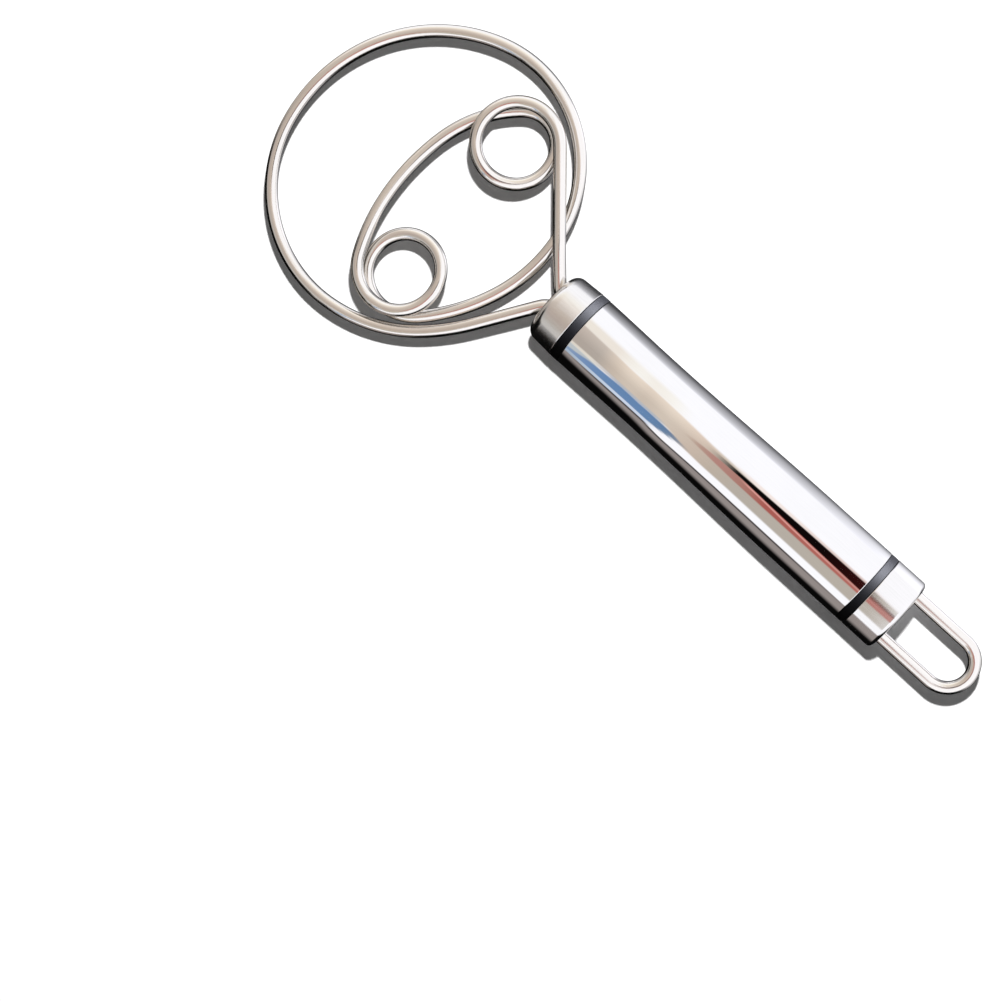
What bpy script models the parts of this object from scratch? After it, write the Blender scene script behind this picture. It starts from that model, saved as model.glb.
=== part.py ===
"""Dough whisk: a single bent steel wire with two coils, clamped in a hollow steel handle.

The handle's axis is the x axis while the pieces are made: x = 0 is the front collar's flat face, the
whisk lies at x > 0 and the handle and its hanging loop at x < 0. The whisk is flat, in the xy plane.
At the end, everything is moved so that the whisk lies on z = 0, centred on the origin.
"""

import math

import bmesh
import bpy
from mathutils import Matrix, Vector

MM = 0.001

# Driving dimensions, in millimetres.
WIRE_DIAMETER = 3.6
GAP = 0.3                       # between two pieces that touch
WALL = 0.9                      # of the handle tube and the rear collar's side

FRONT_RADIUS = 10.14            # of the front collar, if its tapered side ran on to the face
FRONT_SHOULDER = 3.0
FRONT_RING_RADIUS = 10.64       # where the front collar and its ring meet
TUBE_FRONT_RADIUS = 10.57
WAIST_RADIUS = 10.35            # the tube's thinnest place
REAR_RADIUS = 11.05
REAR_SHOULDER = 1.2

COLLAR_END = -9.17              # stations along the axis, from front to rear
RING_END = -11.8
WAIST_AT = -36.0
FULL_AT = -92.0                 # the tube has its rear radius from here on
TUBE_END = -111.2
REAR_RING_END = -113.57
HANDLE_END = -123.35
LOOP_END = -149.3

LOOP_HALF_WIDTH = 7.0           # from the axis to each leg's centre line
LEG_INNER_END = -117.6

PLUG_BORE_RADIUS = 6.5
POCKET_FRONT = -106.0           # floor of the rear plug's pocket for the nut
ROD_RADIUS = 2.5
ROD_FRONT = -14.9
ROD_REAR = -113.0
ANCHOR_RADIUS = 6.2
ANCHOR_FRONT = -2.8
ANCHOR_REAR = -20.0

PAST = 1.0                      # how far a cutter runs past the material
SIDES = 48                      # round pieces
SMALL_SIDES = 20                # rods, holes, washers
WIRE_SIDES = 10

# The whisk wire as its bending machine makes it, seen from above: straight lengths, and bends of a
# radius through an angle, clockwise positive. It starts inside the handle and ends beside itself.
TAIL_START = (-13.0, 0.9)
BENDS = (
    ("straight", 11.6),         # tail in the anchor
    (3.0, -56.0),               # out of the collar
    ("straight", 19.5),
    (67.5, 11.0),               # outer ring, once round
    (45.0, 38.5),
    (37.0, 85.5),
    (47.0, 83.5),
    (35.0, 101.0),
    (44.5, 27.0),               # in under the straight leg, to the far coil
    (56.5, 23.0),
    (16.3, 33.5),
    (10.8, 192.5),              # far coil, once and a half round
    (9.7, 77.0),
    (11.7, 168.5),
    (59.5, 36.5),               # middle arc, across to the near coil
    (37.5, 38.0),
    (9.0, 92.0),                # near coil, once and a quarter round
    (10.6, 217.5),
    (11.5, 139.5),
    ("straight", 38.0),         # straight leg, back to the collar
    (3.0, -50.0),
    ("straight", 11.2),         # second tail
)
BLEND = 3.0                     # length over which one bend eases into the next
TRACE_STEP = 0.25
MOST_TURN = math.radians(13.0)  # between two sections of the wire's mesh
MOST_LENGTH = 7.0

# The wire lies in two layers wherever it crosses itself: -1 is the lower one, +1 the upper one.
# Each pair is a length along the wire and the layer reached there.
LAYERS = ((14, 0), (54, -1), (336, -1), (367, 1), (400, 1), (441, -1), (481, -1), (510, 1), (570, 1), (588, 0))
LAYER_HEIGHT = 1.87


# Materials.

def material(name, color, roughness, metallic):
    made = bpy.data.materials.new(name)
    made.use_nodes = True
    shader = made.node_tree.nodes["Principled BSDF"]
    shader.inputs["Base Color"].default_value = (*color, 1.0)
    shader.inputs["Roughness"].default_value = roughness
    shader.inputs["Metallic"].default_value = metallic
    made.diffuse_color = (*color, 1.0)
    return made


# Routes of bent wire.

def smooth_step(low, high, value):
    part = min(max((value - low) / (high - low), 0.0), 1.0)
    return part * part * (3.0 - 2.0 * part)


def bend_lengths(bends):
    """Each stretch as its length and its curvature, anticlockwise positive."""
    stretches = []
    for first, second in bends:
        if first == "straight":
            stretches.append((second, 0.0))
        else:
            stretches.append((abs(first * math.radians(second)), -math.copysign(1.0 / first, second)))
    return stretches


def heading_at(stretches, length):
    """The wire's direction after this length, in radians, before bends are eased into each other."""
    turned_by = 0.0
    for stretch, curvature in stretches:
        part = min(max(length, 0.0), stretch)
        turned_by += part * curvature
        length -= stretch
    return turned_by


def layer_at(length):
    for (start, low), (end, high) in zip(LAYERS, LAYERS[1:]):
        if length <= end:
            return low + (high - low) * smooth_step(start, end, length)
    return LAYERS[-1][1]


def whisk_route():
    """Points along the wire's centre line, closer together where it bends more."""
    stretches = bend_lengths(BENDS)
    total = sum(stretch for stretch, _ in stretches)
    steps = round(total / TRACE_STEP)
    step = total / steps
    x, y = TAIL_START
    route = [Vector((x, y, 0.0))]
    since_turn = since_length = 0.0
    heading_before = 0.0
    for index in range(steps):
        middle = (index + 0.5) * step
        eased = [heading_at(stretches, middle + BLEND * (k / 8 - 0.5)) for k in range(9)]
        heading = sum(eased) / len(eased)
        x += step * math.cos(heading)
        y += step * math.sin(heading)
        since_turn += abs(heading - heading_before)
        since_length += step
        heading_before = heading
        if since_turn > MOST_TURN or since_length > MOST_LENGTH or index == steps - 1:
            route.append(Vector((x, y, LAYER_HEIGHT * layer_at(middle + step / 2))))
            since_turn = since_length = 0.0
    return route


def loop_route():
    """The hanging loop: out along one leg, half a turn, and back."""
    bend_centre = LOOP_END + WIRE_DIAMETER / 2 + LOOP_HALF_WIDTH
    route = [Vector((LEG_INNER_END, LOOP_HALF_WIDTH, 0.0))]
    bend_steps = 14
    for step in range(bend_steps + 1):
        angle = math.pi * step / bend_steps
        across = LOOP_HALF_WIDTH * math.cos(angle)
        back = LOOP_HALF_WIDTH * math.sin(angle)
        route.append(Vector((bend_centre - back, across, 0.0)))
    route.append(Vector((LEG_INNER_END, -LOOP_HALF_WIDTH, 0.0)))
    return route


# Making meshes.

def finished(name, mesh_data, paint, origin=(0.0, 0.0, 0.0)):
    """Turns a bmesh in millimetres into a named object whose own origin is at a chosen place."""
    bmesh.ops.recalc_face_normals(mesh_data, faces=mesh_data.faces)
    bmesh.ops.translate(mesh_data, verts=mesh_data.verts, vec=-Vector(origin))
    bmesh.ops.scale(mesh_data, verts=mesh_data.verts, vec=(MM, MM, MM))
    mesh = bpy.data.meshes.new(name)
    mesh_data.to_mesh(mesh)
    mesh_data.free()
    mesh.shade_smooth()
    mesh.set_sharp_from_angle(angle=math.radians(35.0))
    if paint:
        mesh.materials.append(paint)
    piece = bpy.data.objects.new(name, mesh)
    piece.location = Vector(origin) * MM
    bpy.context.collection.objects.link(piece)
    return piece


def bridge(mesh_data, before, after):
    """Faces between two rings of vertices; a ring of one vertex is a tip on the axis."""
    count = max(len(before), len(after))
    for side in range(count):
        corners = [before[side % len(before)], before[(side + 1) % len(before)],
                   after[(side + 1) % len(after)], after[side % len(after)]]
        unique = list(dict.fromkeys(corners))
        if len(unique) > 2:
            mesh_data.faces.new(unique)


def turned(name, outline, paint, sides=SIDES, centre_y=0.0):
    """A piece turned about a line along x from an outline of (x, radius).

    An outline that starts and ends on the line makes a solid; any other is closed on itself.
    A cutter has no paint, and is turned by half a side so that none of its edges meets one of a piece's.
    """
    first_side = 0.0 if paint else 0.5
    mesh_data = bmesh.new()
    rings = []
    for x, radius in outline:
        count = 1 if radius == 0.0 else sides
        ring = []
        for side in range(count):
            angle = 2.0 * math.pi * (side + first_side) / sides
            place = (x, centre_y + radius * math.cos(angle), radius * math.sin(angle))
            ring.append(mesh_data.verts.new(place))
        rings.append(ring)
    for before, after in zip(rings, rings[1:]):
        bridge(mesh_data, before, after)
    if outline[0][1] > 0.0:
        bridge(mesh_data, rings[-1], rings[0])
    return finished(name, mesh_data, paint, (outline[0][0], centre_y, 0.0))


def swept(name, route, radius, paint, sides=WIRE_SIDES):
    """Round wire along a route in or near the xy plane."""
    mesh_data = bmesh.new()
    before = None
    for index, point in enumerate(route):
        ahead = route[min(index + 1, len(route) - 1)] - route[max(index - 1, 0)]
        along = ahead.normalized()
        across = Vector((-along.y, along.x, 0.0)).normalized()
        upward = along.cross(across)
        ring = []
        for side in range(sides):
            angle = 2.0 * math.pi * side / sides
            ring.append(mesh_data.verts.new(point + radius * (math.cos(angle) * across + math.sin(angle) * upward)))
        if before is None:
            mesh_data.faces.new(ring)
        else:
            bridge(mesh_data, before, ring)
        before = ring
    mesh_data.faces.new(before)
    return finished(name, mesh_data, paint, route[0])


def prism(name, corners, axis_matrix, length, paint):
    """A flat outline extruded along its local z axis from its local xy plane, then placed."""
    mesh_data = bmesh.new()
    face = mesh_data.faces.new([mesh_data.verts.new((*corner, 0.0)) for corner in corners])
    pushed = bmesh.ops.extrude_face_region(mesh_data, geom=[face])
    new_verts = [item for item in pushed["geom"] if isinstance(item, bmesh.types.BMVert)]
    bmesh.ops.translate(mesh_data, verts=new_verts, vec=(0.0, 0.0, length))
    bmesh.ops.transform(mesh_data, verts=mesh_data.verts, matrix=axis_matrix)
    return finished(name, mesh_data, paint, axis_matrix.translation)


def facing_front(x):
    """Where a prism stands that starts at a station and runs forwards along the handle's axis."""
    return Matrix(((0, 0, 1, x), (1, 0, 0, 0), (0, 1, 0, 0), (0, 0, 0, 1)))


def rod(front, rear, radius):
    """The outline of a plain round rod, for turned()."""
    return [(front, 0.0), (front, radius), (rear, radius), (rear, 0.0)]


def circle(radius, sides=SMALL_SIDES):
    return [(radius * math.cos(2.0 * math.pi * side / sides), radius * math.sin(2.0 * math.pi * side / sides))
            for side in range(sides)]


def cut(target, cutter):
    """Takes the cutter's volume out of the target; the cutter itself isn't part of the whisk."""
    cutter.hide_render = True
    cutter.display_type = "WIRE"
    taken = target.modifiers.new("cut_" + cutter.name, "BOOLEAN")
    taken.operation = "DIFFERENCE"
    taken.object = cutter


def rounded(outline, corners):
    """The outline with arcs in place of some corners; corners maps a point's index to its radius."""
    result = []
    for index, point in enumerate(outline):
        if index not in corners:
            result.append(point)
            continue
        here = Vector(point)
        back = (Vector(outline[index - 1]) - here).normalized()
        ahead = (Vector(outline[index + 1]) - here).normalized()
        half = back.angle(ahead) / 2.0
        reach = corners[index] / math.tan(half)
        centre = here + (back + ahead).normalized() * corners[index] / math.sin(half)
        start = here + back * reach - centre
        end = here + ahead * reach - centre
        arc_steps = 4
        for step in range(arc_steps + 1):
            mixed = start.lerp(end, step / arc_steps).normalized() * corners[index]
            result.append(tuple(centre + mixed))
    return result


# The whisk and its fixing in the handle.

def make_whisk(route, steel):
    return swept("whisk_wire", route, WIRE_DIAMETER / 2, steel)


def make_anchor(route, steel):
    """A steel block that holds both tails of the wire side by side, and takes the tie rod's thread."""
    edge = 0.5
    anchor = turned("wire_anchor", [
        (ANCHOR_FRONT, 0.0), (ANCHOR_FRONT, ANCHOR_RADIUS - edge), (ANCHOR_FRONT - edge, ANCHOR_RADIUS),
        (ANCHOR_REAR + edge, ANCHOR_RADIUS), (ANCHOR_REAR, ANCHOR_RADIUS - edge), (ANCHOR_REAR, 0.0),
    ], steel)
    slot_radius = WIRE_DIAMETER / 2 + GAP
    left, right = route[0].y, route[-1].y
    outline = []
    half_steps = 8
    for centre, turn in ((left, 0.0), (right, math.pi)):
        for step in range(half_steps + 1):
            angle = turn - math.pi / 2 + math.pi * step / half_steps
            outline.append((centre + slot_radius * math.cos(angle), slot_radius * math.sin(angle)))
    slot_end = TAIL_START[0] - 0.4
    cut(anchor, prism("slot_cutter", outline, facing_front(slot_end), ANCHOR_FRONT + PAST - slot_end, None))
    rod_hole = rod(ROD_FRONT + GAP, ANCHOR_REAR - PAST, ROD_RADIUS + GAP)
    cut(anchor, turned("rod_hole_cutter", rod_hole, None, SMALL_SIDES))
    return anchor


def make_wire_screws(anchor, route, steel):
    """Socket set screws in the anchor's side, one on each tail."""
    radius, socket_radius, socket_depth, sides = 1.5, 0.87, 1.3, 16
    tip = WIRE_DIAMETER / 2 + GAP
    for number, x, y, top in ((1, -6.0, route[0].y, 5.35), (2, -10.5, route[-1].y, 4.35)):
        at_tip = Matrix.Translation((x, y, tip))
        screw = prism(f"wire_screw_{number}", circle(radius, sides), at_tip, top - tip, steel)
        at_socket = Matrix.Translation((x, y, top - socket_depth))
        cut(screw, prism(f"socket_cutter_{number}", circle(socket_radius, 6), at_socket, socket_depth + PAST, None))
        in_slot = Matrix.Translation((x, y, 1.0))
        hole = circle(radius + GAP, sides)
        cut(anchor, prism(f"screw_hole_cutter_{number}", hole, in_slot, ANCHOR_RADIUS + PAST, None))


# The handle, from front to rear.

def make_front_collar(route, steel):
    """A drawn cup with a soft shoulder, a slightly tapered side and two holes that the wire comes out of."""
    face, inner, inner_corner = 1.0, 9.55, 1.5
    rear = COLLAR_END + GAP / 2
    outer = rounded([(0.0, 0.0), (0.0, FRONT_RADIUS), (rear, FRONT_RING_RADIUS)], {1: FRONT_SHOULDER})
    inside = [(rear, inner), (-face - inner_corner, inner), (-face, inner - inner_corner), (-face, 0.0)]
    collar = turned("front_collar", outer + inside, steel)
    hole_radius = WIRE_DIAMETER / 2 + GAP
    reach = 6.0
    for name, stretch in (("first", route), ("second", route[::-1])):
        near = [point for point in stretch[:8] if -reach < point.x < reach]
        cut(collar, swept(f"{name}_wire_hole_cutter", near, hole_radius, None, 16))
    return collar


def make_ring(name, front, rear, radius, seat_radius, rubber):
    """A rubber ring between a collar and the tube, seated in its plug's groove."""
    front -= GAP / 2
    rear += GAP / 2
    edge = 0.2
    turned(name, [
        (front, seat_radius), (front, radius - edge), (front - edge, radius),
        (rear + edge, radius), (rear, radius - edge), (rear, seat_radius),
    ], rubber)


def make_front_plug(nylon):
    """Moulded core of the handle's front end: collar nose, ring groove, tube spigot, anchor pocket."""
    nose, groove, spigot = 9.2, 8.0, 9.2
    front, groove_front, groove_rear, rear = -4.2, -9.0, -12.0, -25.0
    wall_front = ANCHOR_REAR - GAP
    turned("front_plug", [
        (front, PLUG_BORE_RADIUS), (front, nose), (groove_front, nose), (groove_front, groove),
        (groove_rear, groove), (groove_rear, spigot), (rear, spigot), (rear, ROD_RADIUS + GAP),
        (wall_front, ROD_RADIUS + GAP), (wall_front, PLUG_BORE_RADIUS),
    ], nylon)
    return groove


def tube_radius(x):
    """The tube's outside: a slight waist near the front, swelling towards the rear."""
    if x > WAIST_AT:
        part = smooth_step(WAIST_AT, RING_END, x)
        return WAIST_RADIUS + (TUBE_FRONT_RADIUS - WAIST_RADIUS) * part
    part = min((WAIST_AT - x) / (WAIST_AT - FULL_AT), 1.0)
    return WAIST_RADIUS + (REAR_RADIUS - WAIST_RADIUS) * math.sin(math.pi / 2 * part) ** 2


def make_tube(steel):
    front = RING_END - GAP / 2
    rear = TUBE_END + GAP / 2
    stations = 12
    places = [front + (rear - front) * step / (stations - 1) for step in range(stations)]
    outside = [(x, tube_radius(x)) for x in places]
    inside = [(x, radius - WALL) for x, radius in outside]
    turned("handle_tube", outside + inside[::-1], steel)


def make_tie_rod(steel):
    """A rod from the wire anchor to the nut in the rear plug; it pulls the handle's stack together."""
    edge = 0.5
    turned("tie_rod", [
        (ROD_FRONT, 0.0), (ROD_FRONT, ROD_RADIUS - edge), (ROD_FRONT - edge, ROD_RADIUS),
        (ROD_REAR + edge, ROD_RADIUS), (ROD_REAR, ROD_RADIUS - edge), (ROD_REAR, 0.0),
    ], steel, SMALL_SIDES)


def make_rear_plug(nylon):
    """Moulded core of the handle's rear end, with a pocket for the rod's nut."""
    spigot, groove, nose = 9.8, 8.6, 9.8
    front, groove_front, groove_rear, rear = -98.0, -111.0, -113.75, -117.2
    turned("rear_plug", [
        (front, ROD_RADIUS + GAP), (front, spigot), (groove_front, spigot), (groove_front, groove),
        (groove_rear, groove), (groove_rear, nose), (rear, nose), (rear, PLUG_BORE_RADIUS),
        (POCKET_FRONT, PLUG_BORE_RADIUS), (POCKET_FRONT, ROD_RADIUS + GAP),
    ], nylon)
    return groove


def make_rod_fasteners(steel):
    """The washer and the hexagon nut that clamp the handle along the rod."""
    hole = ROD_RADIUS + GAP
    washer_front, washer_thickness, washer_radius = POCKET_FRONT - GAP, 1.0, 5.0
    washer_rear = washer_front - washer_thickness
    turned("rod_washer", [(washer_front, hole), (washer_front, washer_radius),
                          (washer_rear, washer_radius), (washer_rear, hole)], steel, SMALL_SIDES)
    nut_height, across_flats = 4.0, 8.0
    nut_rear = washer_rear - GAP - nut_height
    corner_radius = across_flats / 2 / math.cos(math.pi / 6)
    nut = prism("rod_nut", circle(corner_radius, 6), facing_front(nut_rear), nut_height, steel)
    bore = rod(nut_rear + nut_height + PAST, nut_rear - PAST, hole)
    cut(nut, turned("nut_bore_cutter", bore, None, SMALL_SIDES))


def leg_holes(name, front, rear, target):
    """Cuts both holes for the hanging loop's legs, from one station to another."""
    hole = rod(front + PAST, rear - PAST, WIRE_DIAMETER / 2 + GAP)
    for side, y in (("left", LOOP_HALF_WIDTH), ("right", -LOOP_HALF_WIDTH)):
        cut(target, turned(f"{name}_{side}_hole_cutter", hole, None, SMALL_SIDES, y))


def make_rear_collar(steel):
    """A drawn cup with a soft edge and two holes for the hanging loop's legs."""
    face = 1.1
    front = REAR_RING_END - GAP / 2
    inner = REAR_RADIUS - WALL
    outer = rounded([(HANDLE_END, 0.0), (HANDLE_END, REAR_RADIUS), (front, REAR_RADIUS)], {1: REAR_SHOULDER})
    inside = [(front, inner), (HANDLE_END + face, inner), (HANDLE_END + face, 0.0)]
    collar = turned("rear_collar", outer + inside, steel)
    leg_holes("collar", HANDLE_END + face, HANDLE_END, collar)


def make_loop(steel, plate_steel):
    """The hanging loop, the plate that it is fixed to inside the collar, and a push-on clip on each leg."""
    swept("hanging_loop", loop_route(), WIRE_DIAMETER / 2, steel)
    plate_front, plate_rear, plate_radius = -119.2, -121.9, 9.9
    plate = turned("loop_plate", [(plate_front, 0.0), (plate_front, plate_radius),
                                  (plate_rear, plate_radius), (plate_rear, 0.0)], plate_steel)
    leg_holes("plate", plate_front, plate_rear, plate)
    clip_front, clip_rear, clip_radius = -118.3, -118.9, 2.9
    hole = WIRE_DIAMETER / 2 + GAP
    for number, y in ((1, LOOP_HALF_WIDTH), (2, -LOOP_HALF_WIDTH)):
        turned(f"loop_clip_{number}", [(clip_front, hole), (clip_front, clip_radius),
                                       (clip_rear, clip_radius), (clip_rear, hole)], plate_steel, SMALL_SIDES, y)


def stand_on_origin(pieces):
    """Hangs every piece on one empty and moves that, so z = 0 is under the whisk and x = y = 0 its middle."""
    carrier = bpy.data.objects.new("whisk", None)
    bpy.context.collection.objects.link(carrier)
    corners = []
    for piece in pieces:
        piece.parent = carrier
        if not piece.hide_render:
            corners += [piece.location + vertex.co for vertex in piece.data.vertices]
    low = Vector([min(corner[axis] for corner in corners) for axis in range(3)])
    high = Vector([max(corner[axis] for corner in corners) for axis in range(3)])
    carrier.location = (-(low.x + high.x) / 2, -(low.y + high.y) / 2, -low.z)


def main():
    for old in list(bpy.data.objects):
        bpy.data.objects.remove(old)

    wire_steel = material("wire_steel", (0.80, 0.77, 0.73), 0.16, 1.0)
    collar_steel = material("collar_steel", (0.76, 0.74, 0.72), 0.20, 1.0)
    tube_steel = material("tube_steel", (0.80, 0.79, 0.78), 0.08, 1.0)
    plain_steel = material("plain_steel", (0.60, 0.60, 0.61), 0.40, 1.0)
    black_rubber = material("black_rubber", (0.012, 0.012, 0.014), 0.45, 0.0)
    black_nylon = material("black_nylon", (0.03, 0.03, 0.03), 0.50, 0.0)

    route = whisk_route()
    make_whisk(route, wire_steel)
    anchor = make_anchor(route, plain_steel)
    make_wire_screws(anchor, route, plain_steel)
    make_front_collar(route, collar_steel)
    front_groove = make_front_plug(black_nylon)
    make_ring("front_ring", COLLAR_END, RING_END, FRONT_RING_RADIUS, front_groove + GAP, black_rubber)
    make_tube(tube_steel)
    make_tie_rod(plain_steel)
    rear_groove = make_rear_plug(black_nylon)
    make_rod_fasteners(plain_steel)
    make_ring("rear_ring", TUBE_END, REAR_RING_END, REAR_RADIUS, rear_groove + GAP, black_rubber)
    make_rear_collar(collar_steel)
    make_loop(wire_steel, plain_steel)
    stand_on_origin(list(bpy.data.objects))


main()
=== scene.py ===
"""Looks of the dough whisk: polished steel wire and handle, two black rubber rings, on a white table.

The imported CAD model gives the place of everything. The seven pieces that can be seen are made again here
with fine meshes, rounded edges and thin seams; the pieces sealed inside the handle stay and get better
materials. Shapes are worked out in the handle's own frame, in millimetres, as the CAD does: x = 0 is the
front collar's flat face, the handle lies at x < 0 and its axis is the x axis.
"""

import math

import bmesh
import bpy
from mathutils import Matrix, Vector


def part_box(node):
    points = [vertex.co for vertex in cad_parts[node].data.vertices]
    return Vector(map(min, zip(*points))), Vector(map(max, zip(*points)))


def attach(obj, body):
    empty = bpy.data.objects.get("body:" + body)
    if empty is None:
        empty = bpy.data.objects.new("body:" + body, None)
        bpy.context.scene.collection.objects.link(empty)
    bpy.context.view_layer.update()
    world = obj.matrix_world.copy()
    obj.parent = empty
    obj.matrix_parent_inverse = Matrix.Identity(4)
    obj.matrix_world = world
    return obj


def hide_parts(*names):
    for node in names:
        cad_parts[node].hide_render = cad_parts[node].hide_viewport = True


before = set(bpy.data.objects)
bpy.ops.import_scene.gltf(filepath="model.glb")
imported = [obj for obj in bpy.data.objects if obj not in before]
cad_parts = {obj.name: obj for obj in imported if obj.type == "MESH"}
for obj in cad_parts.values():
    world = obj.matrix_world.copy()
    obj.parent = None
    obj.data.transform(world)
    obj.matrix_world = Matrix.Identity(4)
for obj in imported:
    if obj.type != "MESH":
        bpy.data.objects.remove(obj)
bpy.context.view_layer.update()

MM = 0.001

# The CAD's driving dimensions, in millimetres.
WIRE_RADIUS = 1.8
WALL = 0.9

FRONT_RADIUS = 10.14
FRONT_SHOULDER = 3.0
FRONT_RING_RADIUS = 10.64
FRONT_SEAT_RADIUS = 8.3         # inside the ring
TUBE_FRONT_RADIUS = 10.57
WAIST_RADIUS = 10.35
REAR_RADIUS = 11.05
REAR_SHOULDER = 1.2
REAR_SEAT_RADIUS = 8.9

COLLAR_END = -9.17
RING_END = -11.8
WAIST_AT = -36.0
FULL_AT = -92.0
TUBE_END = -111.2
REAR_RING_END = -113.57
HANDLE_END = -123.35
LOOP_END = -149.3

LOOP_HALF_WIDTH = 7.0
LEG_INNER_END = -117.6

SEAM = 0.06                     # between two pieces that touch, where it shows
HOLE_SEAM = 0.12                # round a wire where it enters a collar

# How fine the meshes are, and the angle in degrees above which an edge is shaded sharp.
TURNED_SIDES = 180
WIRE_SIDES = 32
HOLE_SIDES = 48
LEG_HOLE_SIDES = 50
FLAT_STEPS = 12                 # rings on a collar's flat end
SHARP_ABOVE = 30.0
WIRE_SHARP_ABOVE = 60.0

# The whisk wire: straight lengths, and bends of (radius, angle in degrees), clockwise positive.
TAIL_START = (-13.0, 0.9)
BENDS = (
    ("straight", 11.6),
    (3.0, -56.0),
    ("straight", 19.5),
    (67.5, 11.0),
    (45.0, 38.5),
    (37.0, 85.5),
    (47.0, 83.5),
    (35.0, 101.0),
    (44.5, 27.0),
    (56.5, 23.0),
    (16.3, 33.5),
    (10.8, 192.5),
    (9.7, 77.0),
    (11.7, 168.5),
    (59.5, 36.5),
    (37.5, 38.0),
    (9.0, 92.0),
    (10.6, 217.5),
    (11.5, 139.5),
    ("straight", 38.0),
    (3.0, -50.0),
    ("straight", 11.2),
)
BLEND = 3.0                     # length over which one bend eases into the next
TRACE_STEP = 0.25
MOST_TURN = math.radians(3.0)   # between two sections of the wire's mesh
MOST_LENGTH = 1.6

# How high the wire runs: (length along it, layer), in layers above the handle's axis.
LAYERS = (
    (14, 0), (54, -1), (336, -1), (367, 1), (400, 1),
    (441, -1), (481, -1), (510, 1), (570, 1), (588, 0),
)
LAYER_HEIGHT = 1.87


def handle_frame():
    """The handle frame's place in the row frame, in millimetres, from the CAD nodes' boxes."""
    tube_low, tube_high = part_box("handle_tube")
    middle = (tube_low + tube_high) / 2 / MM
    loop_low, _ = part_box("hanging_loop")
    return Vector((loop_low.x / MM - LOOP_END, middle.y, middle.z))


HANDLE_AT = handle_frame()


# Routes and outlines.

def smooth_step(low, high, value):
    part = min(max((value - low) / (high - low), 0.0), 1.0)
    return part * part * (3.0 - 2.0 * part)


def bend_lengths():
    """Each stretch of the wire as its length and its curvature, anticlockwise positive."""
    stretches = []
    for first, second in BENDS:
        if first == "straight":
            stretches.append((second, 0.0))
        else:
            stretches.append((abs(first * math.radians(second)), -math.copysign(1.0 / first, second)))
    return stretches


def heading_at(stretches, length):
    turned_by = 0.0
    for stretch, curvature in stretches:
        part = min(max(length, 0.0), stretch)
        turned_by += part * curvature
        length -= stretch
    return turned_by


def layer_at(length):
    for (start, low), (end, high) in zip(LAYERS, LAYERS[1:]):
        if length <= end:
            return low + (high - low) * smooth_step(start, end, length)
    return LAYERS[-1][1]


def whisk_route():
    """Points along the wire's centre line."""
    samples = 8                 # of the heading, over a blend
    stretches = bend_lengths()
    total = sum(stretch for stretch, _ in stretches)
    steps = round(total / TRACE_STEP)
    step = total / steps
    x, y = TAIL_START
    route = [Vector((x, y, 0.0))]
    since_turn = since_length = 0.0
    heading_before = 0.0
    for index in range(steps):
        middle = (index + 0.5) * step
        eased = []
        for sample in range(samples + 1):
            eased.append(heading_at(stretches, middle + BLEND * (sample / samples - 0.5)))
        heading = sum(eased) / len(eased)
        x += step * math.cos(heading)
        y += step * math.sin(heading)
        since_turn += abs(heading - heading_before)
        since_length += step
        heading_before = heading
        if since_turn > MOST_TURN or since_length > MOST_LENGTH or index == steps - 1:
            route.append(Vector((x, y, LAYER_HEIGHT * layer_at(middle + step / 2))))
            since_turn = since_length = 0.0
    return route


def loop_route():
    """The hanging loop: out along one leg, half a turn, and back."""
    bend_centre = LOOP_END + WIRE_RADIUS + LOOP_HALF_WIDTH
    leg_steps, bend_steps = 16, 60
    leg_length = bend_centre - LEG_INNER_END
    leg = [LEG_INNER_END + leg_length * step / leg_steps for step in range(leg_steps)]
    route = [Vector((x, LOOP_HALF_WIDTH, 0.0)) for x in leg]
    for step in range(bend_steps + 1):
        angle = math.pi * step / bend_steps
        x = bend_centre - LOOP_HALF_WIDTH * math.sin(angle)
        route.append(Vector((x, LOOP_HALF_WIDTH * math.cos(angle), 0.0)))
    return route + [Vector((x, -LOOP_HALF_WIDTH, 0.0)) for x in leg[::-1]]


def rounded(outline, corners):
    """The outline with arcs in place of some corners; corners maps a point's index to (radius, steps).

    A point just before and just after each arc keeps the long faces beside it flat in their shading.
    """
    hold_share = 0.15
    result = []
    for index, point in enumerate(outline):
        if index not in corners:
            result.append(point)
            continue
        radius, steps = corners[index]
        here = Vector(point)
        back = (Vector(outline[index - 1]) - here).normalized()
        ahead = (Vector(outline[(index + 1) % len(outline)]) - here).normalized()
        half = back.angle(ahead) / 2.0
        reach = radius / math.tan(half)
        centre = here + (back + ahead).normalized() * radius / math.sin(half)
        start = here + back * reach - centre
        sweep = (here + ahead * reach - centre).angle_signed(start)
        hold = hold_share * radius
        result.append(tuple(here + back * (reach + hold)))
        for step in range(steps + 1):
            result.append(tuple(centre + Matrix.Rotation(sweep * step / steps, 2) @ start))
        result.append(tuple(here + ahead * (reach + hold)))
    return result


def subdivided(first, last, steps):
    """Points from one outline point to another, the last one left out."""
    return [tuple(Vector(first).lerp(Vector(last), step / steps)) for step in range(steps)]


def tube_radius(x):
    """The tube's outside: a slight waist near the front, swelling towards the rear."""
    if x > WAIST_AT:
        part = smooth_step(WAIST_AT, RING_END, x)
        return WAIST_RADIUS + (TUBE_FRONT_RADIUS - WAIST_RADIUS) * part
    part = min((WAIST_AT - x) / (WAIST_AT - FULL_AT), 1.0)
    return WAIST_RADIUS + (REAR_RADIUS - WAIST_RADIUS) * math.sin(math.pi / 2 * part) ** 2


# Making meshes.

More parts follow.
